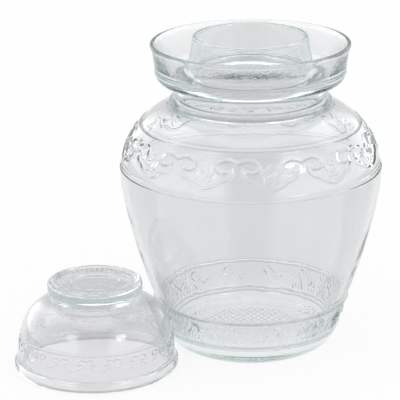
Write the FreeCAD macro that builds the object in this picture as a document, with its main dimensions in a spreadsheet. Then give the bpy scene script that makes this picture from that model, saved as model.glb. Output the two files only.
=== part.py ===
import FreeCAD, Part
import math
import os
import Sketcher

# A glass pickle jar with a water trough round its mouth, and the lid that seals it, set down beside the jar.
# Both pieces are turned about their own upright axes. The origin is on the jar's axis, at the floor, +Z is
# up. The lid stands on its rim towards -X and -Y. The lid's rim is made to stand in the trough.

# Driving dimensions, in millimetres unless the name says degrees. Each becomes a cell of the sheet "Sizes".
SIZES = {
    # The jar's body: the foot, the base band, the belly and the shoulder, from the floor up to the collar.
    "foot_radius": 49.0,
    "heel_curve": 18.0,
    "heel_reach": 10.5,
    "band_height": 14.3,
    "band_flare": 6.3,
    "band_top_height": 33.2,
    "belly_radius": 88.0,
    "belly_lean_degrees": 10.8,
    "shoulder_curve": 54.0,
    "shoulder_height": 168.5,
    # The mouth, and the neck, collar and trough that stand round it, each set out from the mouth's base.
    "mouth_radius": 38.5,
    "mouth_taper": 4.0,
    "mouth_rise": 4.3,
    "neck_reach": 7.5,
    "neck_length": 13.8,
    "collar_reach": 4.6,
    "collar_height": 2.2,
    "collar_slope": 2.4,
    "trough_width": 16.0,
    "trough_height": 27.2,
    "trough_floor_wall": 6.7,
    "trough_foot_wall": 5.5,
    "trough_corner_reach": 4.0,
    "trough_corner_curve": 6.5,
    "trough_base_rise": 1.5,
    "seam_height": 7.3,
    "seam_ledge": 0.5,
    "trough_flare": 3.4,
    "trough_curve": 60.0,
    "trough_lip": 3.0,
    # The glass's thickness inside the jar.
    "floor_wall": 7.0,
    "floor_inset": 9.0,
    "low_wall": 5.0,
    "body_wall": 4.0,
    "neck_wall": 4.5,
    "mouth_base_wall": 4.2,
    "mouth_wall": 3.4,
    # Roundings of the jar.
    "collar_round": 0.9,
    "lip_round": 1.4,
    "mouth_round": 1.5,
    "trough_round": 5.0,
    "floor_round": 12.0,
    "throat_round": 15.0,
    # Raised mould lines: one on each edge of the base band, a pair at the belly and one on the shoulder.
    "bead_radius": 0.6,
    "belly_line_drop": 41.0,
    "belly_line_gap": 2.7,
    "shoulder_line_drop": 13.9,
    # The lid: a thick rim, a tapering wall, a dome and the broad foot that is its knob.
    "rim_flat": 1.2,
    "rim_height": 7.4,
    "rim_set": 0.6,
    "lid_wall": 4.0,
    "lid_taper": 2.9,
    "dome_height": 26.0,
    "dome_curve": 27.4,
    "dome_top": 48.7,
    "ceiling_radius": 23.0,
    "foot_height": 11.3,
    "disc_radius": 31.6,
    "disc_thickness": 7.0,
    "disc_overhang": 3.6,
    "disc_edge": 4.2,
    "disc_round": 2.2,
    "dish_depth": 1.0,
    "ring_radius": 16.7,
    "ring_bead": 0.7,
    "lid_line_height": 25.4,
    "lid_bead": 0.5,
    # Where the lid stands: its bearing round the jar from -X towards -Y, and the least gap between the two.
    "lid_bearing_degrees": 26.2,
    "lid_gap": 1.0,
}

# How an outline goes from one corner to the next: straight, or along an arc that bulges away from the axis or
# towards it, or along an arc that runs smoothly into the next one.
STRAIGHT = None
SMOOTH = "smooth"
OUTWARDS = -1
INWARDS = 1

# Radii and heights that several outlines share, as expressions on the sheet.
BAND = "(Sizes.foot_radius + Sizes.heel_reach)"
BAND_TOP = f"({BAND} + Sizes.band_flare)"
MOUTH_BASE = "(Sizes.mouth_radius + Sizes.mouth_taper)"
NECK = f"({MOUTH_BASE} + Sizes.neck_reach)"
COLLAR = f"({NECK} + Sizes.collar_reach)"
TROUGH_FOOT = f"({MOUTH_BASE} + Sizes.trough_width)"
SEAM = f"({TROUGH_FOOT} + Sizes.trough_foot_wall)"
TROUGH_RIM = f"({SEAM} + Sizes.trough_flare)"
TROUGH_BASE_Z = "(Sizes.shoulder_height + Sizes.neck_length)"
SEAM_Z = f"({TROUGH_BASE_Z} + Sizes.seam_height)"
TROUGH_FLOOR_Z = f"({TROUGH_BASE_Z} + Sizes.trough_floor_wall)"
TROUGH_LIP_Z = f"({TROUGH_BASE_Z} + Sizes.trough_height)"
MOUTH_LIP_Z = f"({TROUGH_LIP_Z} + Sizes.mouth_rise)"
# The throat narrows between these two heights, from the neck's hollow to the mouth's.
THROAT_FOOT_Z = f"({TROUGH_BASE_Z} - Sizes.collar_slope)"
THROAT_HEAD_Z = f"({TROUGH_FLOOR_Z} + Sizes.trough_base_rise)"
# The belly and shoulder are one arc. Its centre is set by the widest radius and by the collar's foot.
BELLY_CENTRE = "(Sizes.belly_radius - Sizes.shoulder_curve)"
BELLY_CENTRE_Z = f"(Sizes.shoulder_height - sqrt(Sizes.shoulder_curve ^ 2 - ({COLLAR} - {BELLY_CENTRE}) ^ 2))"
BELLY_LEAN = "(Sizes.belly_lean_degrees * 1 deg)"
# The lid's rim is centred in the trough.
RIM_CENTRE = f"({MOUTH_BASE} + Sizes.trough_width / 2)"
LID_OUTER = f"({RIM_CENTRE} + Sizes.rim_set + Sizes.lid_wall / 2)"
LID_INNER = f"({RIM_CENTRE} + Sizes.rim_set - Sizes.lid_wall / 2)"
LID_TOP_Z = "(Sizes.dome_top + Sizes.foot_height)"
# Each half of the rim is an arc a little flatter than a half circle of the rim's height.
RIM_CURVE = "(Sizes.rim_height * 0.55)"
# A rounding takes at most this share of the wall, lip or channel that it rounds.
FULLEST_ROUND = 0.47

def make_sheet(doc):
    """Write the driving dimensions into a sheet, one alias to a cell."""
    sheet = doc.addObject("Spreadsheet::Sheet", "Sizes")
    for row, (alias, value) in enumerate(SIZES.items(), start=1):
        sheet.set(f"A{row}", str(value))
        sheet.setAlias(f"A{row}", alias)
    doc.recompute()
    return sheet


def make_body(doc, label):
    """Start one piece of glass."""
    body = doc.addObject("PartDesign::Body", label)
    body.Label = label
    return body


def new_sketch(body, name):
    """Add a sketch in the body's own XZ plane, where x is the radius and y the height."""
    sketch = body.newObject("Sketcher::SketchObject", name)
    plane = next(f for f in body.Origin.OriginFeatures if f.Role == "XZ_Plane")
    sketch.AttachmentSupport = [(plane, "")]
    sketch.MapMode = "FlatFace"
    return sketch


def value_of(owner, expression):
    """Work an expression on the sheet out to a plain number."""
    return float(owner.evalExpression(expression))


def bind(sketch, constraint, expression):
    """Add a dimension to a sketch and bind it to an expression on the sheet."""
    index = sketch.addConstraint(constraint)
    sketch.setExpression(f"Constraints[{index}]", expression)


def place_point(sketch, geometry, end, radius, height):
    """Hold one point of a sketch at a radius and a height given as expressions; 0 puts it on an axis."""
    if radius == "0" and height == "0":
        sketch.addConstraint(Sketcher.Constraint("Coincident", geometry, end, -1, 1))
        return
    if radius == "0":
        sketch.addConstraint(Sketcher.Constraint("PointOnObject", geometry, end, -2))
    else:
        size = value_of(sketch, radius)
        bind(sketch, Sketcher.Constraint("DistanceX", -1, 1, geometry, end, size), radius)
    if height == "0":
        sketch.addConstraint(Sketcher.Constraint("PointOnObject", geometry, end, -1))
    else:
        size = value_of(sketch, height)
        bind(sketch, Sketcher.Constraint("DistanceY", -1, 1, geometry, end, size), height)


def arc_between(first, last, radius, side):
    """Return the short arc of a radius between two points, and which of its ends are first and last."""
    chord = last - first
    across = FreeCAD.Vector(-chord.y, chord.x, 0).normalize()
    inset = math.sqrt(radius**2 - (chord.Length / 2) ** 2)
    centre = (first + last) / 2 - across * (side * inset)
    begin, end = (first, last) if side == OUTWARDS else (last, first)
    angles = [math.atan2(p.y - centre.y, p.x - centre.x) for p in (begin, end)]
    if angles[1] < angles[0]:
        angles[1] += 2 * math.pi
    arc = Part.ArcOfCircle(Part.Circle(centre, FreeCAD.Vector(0, 0, 1), radius), *angles)
    return arc, ((1, 2) if side == OUTWARDS else (2, 1))


def smooth_bend(first, last, next_arc):
    """Return the radius and side of the arc between two points that runs smoothly into the next arc."""
    inward = (next_arc.Center - last).normalize()
    span = (first - last).Length ** 2 / (2 * inward.dot(first - last))
    return abs(span), (OUTWARDS if span > 0 else INWARDS)


def draw_outline(body, name, corners):
    """Draw a closed outline, anticlockwise, from corners of (radius, height, way to the next corner)."""
    sketch = new_sketch(body, name)
    points = [FreeCAD.Vector(value_of(sketch, r), value_of(sketch, z), 0) for r, z, _ in corners]
    edges = [None] * len(corners)
    next_arc = None
    for number in reversed(range(len(corners))):
        way = corners[number][2]
        first, last = points[number], points[(number + 1) % len(points)]
        if way is STRAIGHT:
            edges[number] = (sketch.addGeometry(Part.LineSegment(first, last)), 1, 2)
            continue
        if way == SMOOTH:
            radius, side = smooth_bend(first, last, next_arc)
        else:
            radius, side = value_of(sketch, way[0]), way[1]
        next_arc, (start, end) = arc_between(first, last, radius, side)
        edges[number] = (sketch.addGeometry(next_arc), start, end)
        if way != SMOOTH:
            bind(sketch, Sketcher.Constraint("Radius", edges[number][0], radius), way[0])
    for number, (radius, height, _) in enumerate(corners):
        before, here = edges[number - 1], edges[number]
        link = "Tangent" if corners[number - 1][2] == SMOOTH else "Coincident"
        sketch.addConstraint(Sketcher.Constraint(link, before[0], before[2], here[0], here[1]))
        place_point(sketch, here[0], here[1], radius, height)
    return sketch


def draw_circles(body, name, circles):
    """Draw circles given as (radius of the ring, height, radius of the bead)."""
    sketch = new_sketch(body, name)
    for radius, height, bead in circles:
        centre = FreeCAD.Vector(value_of(sketch, radius), value_of(sketch, height), 0)
        size = value_of(sketch, bead)
        index = sketch.addGeometry(Part.Circle(centre, FreeCAD.Vector(0, 0, 1), size))
        bind(sketch, Sketcher.Constraint("Radius", index, size), bead)
        place_point(sketch, index, 3, radius, height)
    return sketch


def turn(body, kind, name, sketch):
    """Turn a sketch once round the body's axis, as a Revolution that adds or a Groove that cuts."""
    feature = body.newObject(f"PartDesign::{kind}", name)
    feature.Profile = sketch
    feature.ReferenceAxis = (sketch, ["V_Axis"])
    feature.Angle = 360
    sketch.Visibility = False
    return feature


def round_edges(body, name, size, rings):
    """Round the circular edges that lie at the given (radius, height) places of a body."""
    body.Document.recompute()
    base = body.Tip
    edges = []
    for radius, height in rings:
        r, z = value_of(base, radius), value_of(base, height)
        for number, edge in enumerate(base.Shape.Edges, start=1):
            if not isinstance(edge.Curve, Part.Circle):
                continue
            if abs(edge.Curve.Radius - r) < 0.01 and abs(edge.Curve.Center.z - z) < 0.01:
                edges.append(f"Edge{number}")
                break
        else:
            raise RuntimeError(f"{name}: no edge at radius {r:.2f}, height {z:.2f}")
    feature = body.newObject("PartDesign::Fillet", name)
    feature.Base = (base, edges)
    feature.setExpression("Radius", size)


def belly_radius_at(drop):
    """Return the shoulder's radius and the height, as expressions, at a drop below the collar."""
    height = f"(Sizes.shoulder_height - ({drop}))"
    radius = f"{BELLY_CENTRE} + sqrt(Sizes.shoulder_curve ^ 2 - ({height} - {BELLY_CENTRE_Z}) ^ 2)"
    return radius, height


def draw_jar_outside(body):
    """Draw the jar's outer skin: heel, band, side, shoulder, collar, neck, trough and the mouth's outside."""
    return draw_outline(body, "JarOutside", [
        ("0", "0", STRAIGHT),
        ("Sizes.foot_radius", "0", ("Sizes.heel_curve", OUTWARDS)),
        (BAND, "Sizes.band_height", STRAIGHT),
        (BAND_TOP, "Sizes.band_top_height", SMOOTH),
        (f"{BELLY_CENTRE} + Sizes.shoulder_curve * cos({BELLY_LEAN})",
         f"{BELLY_CENTRE_Z} - Sizes.shoulder_curve * sin({BELLY_LEAN})", ("Sizes.shoulder_curve", OUTWARDS)),
        (COLLAR, "Sizes.shoulder_height", STRAIGHT),
        (COLLAR, "Sizes.shoulder_height + Sizes.collar_height", STRAIGHT),
        (NECK, "Sizes.shoulder_height + Sizes.collar_height + Sizes.collar_slope", STRAIGHT),
        (NECK, TROUGH_BASE_Z, STRAIGHT),
        (f"{SEAM} - Sizes.trough_corner_reach", f"{TROUGH_BASE_Z} + Sizes.trough_base_rise",
         ("Sizes.trough_corner_curve", OUTWARDS)),
        (f"{SEAM} - Sizes.seam_ledge", SEAM_Z, STRAIGHT),
        (SEAM, SEAM_Z, ("Sizes.trough_curve", OUTWARDS)),
        (TROUGH_RIM, TROUGH_LIP_Z, STRAIGHT),
        (f"{TROUGH_RIM} - Sizes.trough_lip", TROUGH_LIP_Z, STRAIGHT),
        (TROUGH_FOOT, TROUGH_FLOOR_Z, STRAIGHT),
        (MOUTH_BASE, TROUGH_FLOOR_Z, STRAIGHT),
        ("Sizes.mouth_radius", MOUTH_LIP_Z, STRAIGHT),
        ("0", MOUTH_LIP_Z, STRAIGHT),
    ])


def draw_jar_inside(body):
    """Draw the hollow: a flat floor, the side and shoulder a wall inside the skin, then throat and mouth."""
    curve = "(Sizes.shoulder_curve - Sizes.body_wall)"
    throat = f"({NECK} - Sizes.neck_wall)"
    return draw_outline(body, "JarInside", [
        ("0", "Sizes.floor_wall", STRAIGHT),
        (f"{BAND} - Sizes.floor_inset", "Sizes.floor_wall", STRAIGHT),
        (f"{BAND_TOP} - Sizes.low_wall", "Sizes.band_top_height", SMOOTH),
        (f"{BELLY_CENTRE} + {curve} * cos({BELLY_LEAN})", f"{BELLY_CENTRE_Z} - {curve} * sin({BELLY_LEAN})",
         (curve, OUTWARDS)),
        (throat, f"{BELLY_CENTRE_Z} + sqrt({curve} ^ 2 - ({throat} - {BELLY_CENTRE}) ^ 2)", STRAIGHT),
        (throat, THROAT_FOOT_Z, STRAIGHT),
        (f"{MOUTH_BASE} - Sizes.mouth_base_wall", THROAT_HEAD_Z, STRAIGHT),
        ("Sizes.mouth_radius - Sizes.mouth_wall", MOUTH_LIP_Z, STRAIGHT),
        ("0", MOUTH_LIP_Z, STRAIGHT),
    ])


def draw_jar_beads(body):
    """Draw the sections of the raised mould lines."""
    places = [
        (BAND, "Sizes.band_height"),
        (BAND_TOP, "Sizes.band_top_height"),
        belly_radius_at("Sizes.belly_line_drop + Sizes.belly_line_gap"),
        belly_radius_at("Sizes.belly_line_drop"),
        belly_radius_at("Sizes.shoulder_line_drop"),
    ]
    return draw_circles(body, "JarBeads", [(r, z, "Sizes.bead_radius") for r, z in places])


def make_jar(doc):
    """Turn the jar's skin, hollow it, round its lips and corners and raise its mould lines."""
    jar = make_body(doc, "jar")
    turn(jar, "Revolution", "Skin", draw_jar_outside(jar))
    turn(jar, "Groove", "Hollow", draw_jar_inside(jar))
    round_edges(jar, "CollarRound", "Sizes.collar_round", [
        (COLLAR, "Sizes.shoulder_height + Sizes.collar_height"),
    ])
    round_edges(jar, "TroughLip", f"min(Sizes.lip_round, {FULLEST_ROUND} * Sizes.trough_lip)", [
        (TROUGH_RIM, TROUGH_LIP_Z),
        (f"{TROUGH_RIM} - Sizes.trough_lip", TROUGH_LIP_Z),
    ])
    round_edges(jar, "MouthLip", f"min(Sizes.mouth_round, {FULLEST_ROUND} * Sizes.mouth_wall)", [
        ("Sizes.mouth_radius", MOUTH_LIP_Z),
        ("Sizes.mouth_radius - Sizes.mouth_wall", MOUTH_LIP_Z),
    ])
    round_edges(jar, "TroughCorners", f"min(Sizes.trough_round, {FULLEST_ROUND} * Sizes.trough_width)", [
        (TROUGH_FOOT, TROUGH_FLOOR_Z),
        (MOUTH_BASE, TROUGH_FLOOR_Z),
    ])
    round_edges(jar, "FloorCorner", "Sizes.floor_round", [
        (f"{BAND} - Sizes.floor_inset", "Sizes.floor_wall"),
    ])
    round_edges(jar, "Throat", f"min(Sizes.throat_round, 1.5 * ({THROAT_HEAD_Z} - {THROAT_FOOT_Z}))", [
        (f"{NECK} - Sizes.neck_wall", THROAT_FOOT_Z),
        (f"{MOUTH_BASE} - Sizes.mouth_base_wall", THROAT_HEAD_Z),
    ])
    turn(jar, "Revolution", "MouldLines", draw_jar_beads(jar))
    return jar


def draw_lid_outside(body):
    """Draw the lid's outer skin: rim, wall, dome, waist and the disc of its foot, dished on top."""
    dish = "Sizes.disc_radius - Sizes.disc_edge"
    return draw_outline(body, "LidOutside", [
        ("0", "0", STRAIGHT),
        (f"{RIM_CENTRE} + Sizes.rim_flat / 2", "0", (RIM_CURVE, OUTWARDS)),
        (LID_OUTER, "Sizes.rim_height", STRAIGHT),
        (f"{LID_OUTER} - Sizes.lid_taper", "Sizes.dome_height", ("Sizes.dome_curve", OUTWARDS)),
        ("Sizes.disc_radius - Sizes.disc_overhang", "Sizes.dome_top", STRAIGHT),
        ("Sizes.disc_radius", f"{LID_TOP_Z} - Sizes.disc_thickness", STRAIGHT),
        ("Sizes.disc_radius", LID_TOP_Z, STRAIGHT),
        (dish, LID_TOP_Z, STRAIGHT),
        (f"{dish} - Sizes.dish_depth", f"{LID_TOP_Z} - Sizes.dish_depth", STRAIGHT),
        ("0", f"{LID_TOP_Z} - Sizes.dish_depth", STRAIGHT),
    ])


def draw_lid_inside(body):
    """Draw the lid's hollow: the inner side of the rim, the wall and the dome's ceiling."""
    ceiling = "Sizes.dome_top - Sizes.lid_wall"
    return draw_outline(body, "LidInside", [
        ("0", "0", STRAIGHT),
        (f"{RIM_CENTRE} - Sizes.rim_flat / 2", "0", (RIM_CURVE, INWARDS)),
        (LID_INNER, "Sizes.rim_height", STRAIGHT),
        (f"{LID_INNER} - Sizes.lid_taper", "Sizes.dome_height",
         ("Sizes.dome_curve - Sizes.lid_wall", OUTWARDS)),
        ("Sizes.ceiling_radius", ceiling, STRAIGHT),
        ("0", ceiling, STRAIGHT),
    ])


def draw_lid_beads(body):
    """Draw the sections of the line above the lid's scroll band and of the ring on its foot."""
    share = "(Sizes.lid_line_height - Sizes.rim_height) / (Sizes.dome_height - Sizes.rim_height)"
    return draw_circles(body, "LidBeads", [
        (f"{LID_OUTER} - Sizes.lid_taper * {share}", "Sizes.lid_line_height", "Sizes.lid_bead"),
        ("Sizes.ring_radius", f"{LID_TOP_Z} - Sizes.dish_depth", "Sizes.ring_bead"),
    ])


def make_lid(doc):
    """Turn the lid's skin, hollow it, round the edges of its foot and raise its lines."""
    lid = make_body(doc, "lid")
    turn(lid, "Revolution", "LidSkin", draw_lid_outside(lid))
    turn(lid, "Groove", "LidHollow", draw_lid_inside(lid))
    round_edges(lid, "DiscRound", f"min(Sizes.disc_round, {FULLEST_ROUND} * Sizes.disc_thickness)", [
        ("Sizes.disc_radius", LID_TOP_Z),
        ("Sizes.disc_radius", f"{LID_TOP_Z} - Sizes.disc_thickness"),
    ])
    turn(lid, "Revolution", "LidLines", draw_lid_beads(lid))
    return lid


def radius_at(shape, height):
    """Return the outer radius of a turned shape at a height."""
    wires = shape.slice(FreeCAD.Vector(0, 0, 1), height)
    return max((wire.BoundBox.XMax for wire in wires), default=0.0)


def stand_beside(jar, lid, sheet):
    """Stand the lid on the floor beside the jar, tucked in under its belly as near as the gap allows."""
    steps = 60
    heights = [lid.Shape.BoundBox.ZMax * (step + 0.5) / steps for step in range(steps)]
    reach = max(radius_at(jar.Shape, z) + radius_at(lid.Shape, z) for z in heights)
    distance = reach + sheet.lid_gap
    bearing = math.radians(sheet.lid_bearing_degrees)
    place = FreeCAD.Vector(-distance * math.cos(bearing), -distance * math.sin(bearing), 0)
    lid.Placement = FreeCAD.Placement(place, FreeCAD.Rotation())


def check(doc, pieces):
    """Stop if any object failed to recompute or any piece isn't one valid solid."""
    failed = [o.Name for o in doc.Objects if "Invalid" in o.State or "Error" in o.State]
    if failed:
        raise RuntimeError("failed objects: " + ", ".join(failed))
    for piece in pieces:
        shape = piece.Shape
        if shape.isNull() or not shape.isValid() or len(shape.Solids) != 1:
            raise RuntimeError(f"{piece.Label} isn't one valid solid")


def main():
    """Build the jar and its lid and write one STEP file for each."""
    doc = FreeCAD.newDocument("PickleJar")
    sheet = make_sheet(doc)
    jar = make_jar(doc)
    lid = make_lid(doc)
    doc.recompute()
    check(doc, [jar, lid])
    stand_beside(jar, lid, sheet)
    doc.recompute()
    check(doc, [jar, lid])
    os.makedirs("parts", exist_ok=True)
    for piece in (jar, lid):
        piece.Shape.exportStep(f"parts/{piece.Label}.step")
        box = piece.Shape.BoundBox
        print(f"{piece.Label}: {piece.Shape.Volume / 1000:.1f} cm3, X {box.XMin:.1f} to {box.XMax:.1f}, "
              f"Y {box.YMin:.1f} to {box.YMax:.1f}, Z {box.ZMin:.2f} to {box.ZMax:.1f}")


main()
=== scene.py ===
import logging
import math
from dataclasses import dataclass, replace
from enum import Enum
from typing import Callable

import bpy
import numpy as np
from mathutils import Matrix, Vector


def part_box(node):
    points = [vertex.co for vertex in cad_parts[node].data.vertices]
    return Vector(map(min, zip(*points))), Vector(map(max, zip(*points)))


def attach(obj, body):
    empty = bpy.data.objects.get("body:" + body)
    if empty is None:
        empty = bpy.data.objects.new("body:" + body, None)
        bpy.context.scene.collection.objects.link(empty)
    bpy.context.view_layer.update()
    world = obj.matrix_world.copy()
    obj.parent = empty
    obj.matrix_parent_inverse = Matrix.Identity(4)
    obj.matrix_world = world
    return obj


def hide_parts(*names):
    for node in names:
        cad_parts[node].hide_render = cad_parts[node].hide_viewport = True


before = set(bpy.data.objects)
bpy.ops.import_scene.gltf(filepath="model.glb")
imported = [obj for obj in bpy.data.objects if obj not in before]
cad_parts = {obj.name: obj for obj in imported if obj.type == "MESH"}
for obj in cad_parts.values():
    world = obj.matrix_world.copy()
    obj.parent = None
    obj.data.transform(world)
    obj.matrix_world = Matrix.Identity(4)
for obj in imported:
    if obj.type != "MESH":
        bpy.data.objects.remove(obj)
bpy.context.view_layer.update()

LOG = logging.getLogger("pickle_jar")
MM = 0.001
"""A millimetre in metres."""
AROUND = 120
"""Places round the axis in a plain row of a turned piece."""
FINE = 7
"""How many times as many places a row has that carries a pressed ornament."""
SLACK = 0.002
"""How far inside the CAD model's widest ring a piece stays, in millimetres."""
CLEAR = 1.05
"""How far a row must lie from a corner or a line to be kept, as a share of what that takes up."""
TINY = 1e-9
"""The least length that is divided by."""
FRONT = -90.0
"""The bearing of the side that faces the camera, in degrees from +X."""

Array = np.ndarray
Point = tuple[float, float]
Place = tuple[float, float, float]
Shade = tuple[float, float, float, float]
Relief = Callable[[Array, Array], Array]
Tree = bpy.types.NodeTree
Socket = bpy.types.NodeSocket
Value = Socket | float


class Surface(Enum):
    """The kinds of surface that a turned piece has, by how many places a row has round the axis."""

    PLAIN = AROUND
    PRESSED = AROUND * FINE


# ---------------------------------------------------------------- profiles


def straight(start: Point, end: Point, rows: int) -> Array:
    """Points evenly spaced on a line.

    Args:
        start: Radius and height of the first point, in millimetres.
        end: Radius and height of the last point.
        rows: How many steps to take.

    Returns:
        rows + 1 pairs of radius and height.
    """
    return np.linspace(start, end, rows + 1)


def bend(start: Point, end: Point, radius: float, rows: int) -> Array:
    """Points on the shorter circular arc between two points.

    The centre lies on the chord's perpendicular bisector, at sqrt(radius^2 - half chord^2) from its middle.
    A positive radius puts it to the left of the way from start to end, so the arc turns left. A negative
    one puts it to the right.

    Args:
        start: Radius and height of the first point, in millimetres.
        end: Radius and height of the last point.
        radius: The arc's radius, with the sign of its turn.
        rows: How many steps to take.

    Returns:
        rows + 1 pairs of radius and height.
    """
    a, b = np.array(start, float), np.array(end, float)
    chord = b - a
    half = np.hypot(*chord) / 2
    left = np.array([-chord[1], chord[0]]) / (2 * half)
    centre = (a + b) / 2 + left * math.copysign(math.sqrt(max(radius * radius - half * half, 0.0)), radius)
    turn = 2 * math.asin(min(1.0, half / abs(radius))) * math.copysign(1.0, radius)
    angles = np.linspace(0.0, turn, rows + 1)[:, None]
    arm = a - centre
    across = np.array([-arm[1], arm[0]])
    return centre + np.cos(angles) * arm + np.sin(angles) * across


def soften(before: Array, after: Array, radius: float, rows: int) -> Array:
    """Join two runs of a profile with a rounded corner.

    Each run is cut back by radius * tan(turn / 2) from the corner, and the arc between the cuts touches both.

    Args:
        before: The run that ends at the corner.
        after: The run that starts at it.
        radius: The rounding, in millimetres.
        rows: How many steps the arc takes.

    Returns:
        The two runs and the arc, as one run.
    """
    corner = before[-1]
    come = (corner - before[-2]) / np.hypot(*(corner - before[-2]))
    leave = (after[1] - corner) / np.hypot(*(after[1] - corner))
    turn = math.acos(float(np.clip(np.dot(come, leave), -1, 1)))
    cut = radius * math.tan(turn / 2)
    side = math.copysign(1.0, come[0] * leave[1] - come[1] * leave[0])
    arc = bend(tuple(corner - come * cut), tuple(corner + leave * cut), radius * side, rows)
    keep_before = before[np.hypot(*(before - corner).T) > cut * CLEAR]
    keep_after = after[np.hypot(*(after - corner).T) > cut * CLEAR]
    return np.vstack([keep_before, arc, keep_after])


def distances(points: Array) -> Array:
    """The distance of each point from the first, measured along the points."""
    return np.concatenate([[0.0], np.cumsum(np.hypot(*np.diff(points, axis=0).T))])


def swell(share: Array) -> Array:
    """A smooth bump: cos^2 of the share of a right angle, which is 1 at 0 and 0 from -1 and 1 outwards."""
    return np.cos(np.clip(share, -1, 1) * math.pi / 2) ** 2


def smooth_step(low: Array | float, high: Array | float, value: Array) -> Array:
    """A smooth way from 0 at low to 1 at high: 3 t^2 - 2 t^3 of the share t."""
    share = np.clip((value - low) / (high - low), 0, 1)
    return share * share * (3 - 2 * share)


@dataclass(frozen=True)
class MouldLine:
    """A fine raised line that runs round a piece.

    Args:
        height: The height at which it stands, in millimetres.
        reach: How far it spreads each way along the profile.
        rise: How far it stands out.
        rows: How many rows of points it takes.
    """

    height: float
    reach: float
    rise: float
    rows: int = 9

    def raised_on(self, points: Array) -> Array:
        """Raise the line on a profile.

        The bump is rise * cos^2 of the distance along the profile, out to the reach. It stands along the
        profile's right-hand normal, which on a profile that climbs points away from the axis.

        Args:
            points: The profile, as pairs of radius and height.

        Returns:
            The profile with the line, and closer rows where it rises.
        """
        along = distances(points)
        middle = float(np.interp(self.height, points[:, 1], along))
        extra = middle + self.reach * np.linspace(-1, 1, self.rows)
        where = np.unique(np.concatenate([along[np.abs(along - middle) > self.reach * CLEAR], extra]))
        where = where[(where >= along[0]) & (where <= along[-1])]
        moved = np.column_stack([np.interp(where, along, points[:, n]) for n in (0, 1)])
        tangent = np.gradient(moved, where, axis=0)
        tangent /= np.hypot(*tangent.T)[:, None]
        bump = self.rise * swell((where - middle) / self.reach)
        return moved + np.column_stack([tangent[:, 1], -tangent[:, 0]]) * bump[:, None]


# ---------------------------------------------------------------- pressed ornament


def smooth_line(points: Array, steps: int = 7) -> Array:
    """Points on a smooth curve through the given ones.

    Each span is a Catmull-Rom cubic: the weights of its four nearest points are cubics of the share t of the
    span that is passed, and the end points count twice.

    Args:
        points: Rows of two numbers.
        steps: How many steps each span takes.

    Returns:
        Rows of two numbers, from the first point to the last.
    """
    padded = np.vstack([points[:1], points, points[-1:]])
    t = np.arange(steps)[:, None, None] / steps
    weights = (-0.5 * t + t**2 - 0.5 * t**3, 1 - 2.5 * t**2 + 1.5 * t**3,
               0.5 * t + 2 * t**2 - 1.5 * t**3, -0.5 * t**2 + 0.5 * t**3)
    spans = sum(w * padded[n:len(padded) - 3 + n] for n, w in enumerate(weights))
    return np.vstack([spans.transpose(1, 0, 2).reshape(-1, 2), points[-1:]])


def distance_to_line(across: Array, down: Array, line: Array) -> Array:
    """Distance of every place of a grid from a line of short straight pieces.

    For each piece, the foot of the perpendicular is kept between its two ends, and the least distance counts.

    Args:
        across: The grid's first coordinate.
        down: The grid's second coordinate.
        line: Rows of two numbers.

    Returns:
        An array of the grid's shape.
    """
    start, way = line[:-1], np.diff(line, axis=0)
    from_x, from_y = across[..., None] - start[:, 0], down[..., None] - start[:, 1]
    length = np.maximum((way**2).sum(1), TINY)
    share = np.clip((from_x * way[:, 0] + from_y * way[:, 1]) / length, 0, 1)
    return np.sqrt(((from_x - share * way[:, 0])**2 + (from_y - share * way[:, 1])**2).min(-1))


@dataclass(frozen=True)
class Ridge:
    """One raised line of an ornament.

    Args:
        points: Places that it passes, as millimetres across the repeat from its middle and down from its top.
        width: Half the ridge's width.
        rise: Its height.
        both_sides: Whether it is drawn again in mirror image.
    """

    points: tuple[Point, ...]
    width: float
    rise: float
    both_sides: bool = True

    def height(self, across: Array, down: Array) -> Array:
        """The ridge's height on a grid: rise * cos^2 of the distance from its line, out to its width.

        Args:
            across: Millimetres across the repeat, from its middle.
            down: Millimetres down from its top.

        Returns:
            The height at each place, in millimetres.
        """
        line = smooth_line(np.array(self.points, float))
        near = distance_to_line(np.abs(across) if self.both_sides else across, down, line)
        return self.rise * swell(near / self.width)


@dataclass(frozen=True)
class Blossom:
    """A round flower: a ring with a dot in it, on a low pad whose edge has petals.

    Args:
        across: Its middle, in millimetres across the repeat.
        down: Its middle, in millimetres down from the top.
        rise: The height of its ring and dot.
        ring: The ring's radius.
        ring_width: Half the ring's width.
        dot: The dot's radius.
        pad: The pad's mean radius.
        pad_slope: How wide the pad's sloping edge is.
        pad_share: The pad's height as a share of the ring's.
        petals: How many petals the edge has.
        petal_reach: How far the petals stand out from the mean edge.
        rim_inset: How far inside the edge its rim runs.
        rim_width: Half the rim's width.
        rim_share: The rim's height as a share of the ring's.
    """

    across: float
    down: float
    rise: float = 0.75
    ring: float = 2.5
    ring_width: float = 0.9
    dot: float = 1.2
    pad: float = 6.4
    pad_slope: float = 1.6
    pad_share: float = 0.5
    petals: int = 5
    petal_reach: float = 0.9
    rim_inset: float = 1.2
    rim_width: float = 1.1
    rim_share: float = 0.55

    def height(self, across: Array, down: Array) -> Array:
        """The flower's height on a grid.

        The edge's radius is pad + petal_reach * cos(petals * bearing). On the pad stand a rim that follows
        the edge, a ring and a dot, each a cos^2 bump of the distance from its line, and the highest of them
        counts.

        Args:
            across: Millimetres across the repeat, from its middle.
            down: Millimetres down from its top.

        Returns:
            The height at each place, in millimetres.
        """
        x, y = across - self.across, down - self.down
        away = np.hypot(x, y)
        edge = self.pad + self.petal_reach * np.cos(self.petals * np.arctan2(x, -y))
        pad = self.pad_share * (1 - smooth_step(edge - self.pad_slope, edge, away))
        rim = self.rim_share * swell((away - edge + self.rim_inset) / self.rim_width)
        ring = swell((away - self.ring) / self.ring_width)
        dot = swell(away / self.dot)
        return self.rise * (pad + np.maximum(np.maximum(ring, dot), rim))


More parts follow.
